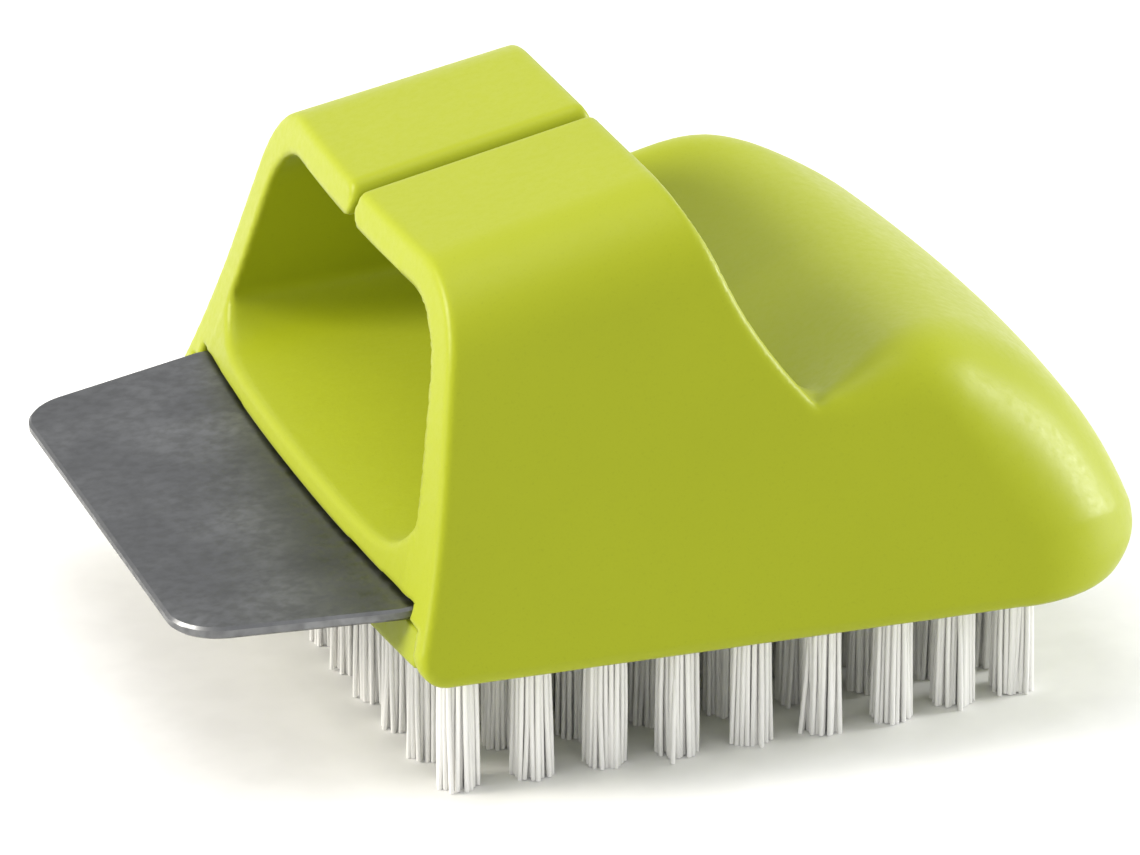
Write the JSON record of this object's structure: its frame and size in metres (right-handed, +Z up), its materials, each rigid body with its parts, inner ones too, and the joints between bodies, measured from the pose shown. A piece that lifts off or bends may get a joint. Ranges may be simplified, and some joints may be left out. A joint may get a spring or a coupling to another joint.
{
  "type": "salt block cleaning brush",
  "caption": "Palm-held scrubbing brush with a split finger loop, dished palm rest, flat scraper blade at the front and a field of nylon tufts below.",
  "frame": {"origin": "middle of the bounding box at the height of the bristle tips, which stand on the floor", "axes": "+X from the scraper's tip to the rear of the palm rest, +Y across the brush, +Z up"},
  "size_m": [0.1203, 0.106, 0.0656],
  "materials": {
    "handle_plastic": "satin, fine speckle",
    "block_plastic": "satin",
    "stainless": "rolled, faintly mottled",
    "screw_zinc": "zinc plated",
    "bristle_nylon": "white nylon filament"
  },
  "bodies": {
    "root": {"handle_shell": "handle_plastic", "base_plate": "block_plastic", "scraper_blade": "stainless", "block_screw_1": "screw_zinc", "block_screw_2": "screw_zinc", "block_screw_3": "screw_zinc", "block_screw_4": "screw_zinc", "bristle_row_1": "bristle_nylon", "bristle_row_2": "bristle_nylon", "bristle_row_3": "bristle_nylon", "bristle_row_4": "bristle_nylon", "bristle_row_5": "bristle_nylon", "bristle_row_6": "bristle_nylon", "bristle_row_7": "bristle_nylon", "bristle_row_8": "bristle_nylon", "bristle_row_9": "bristle_nylon"}
  },
  "joints": []
}
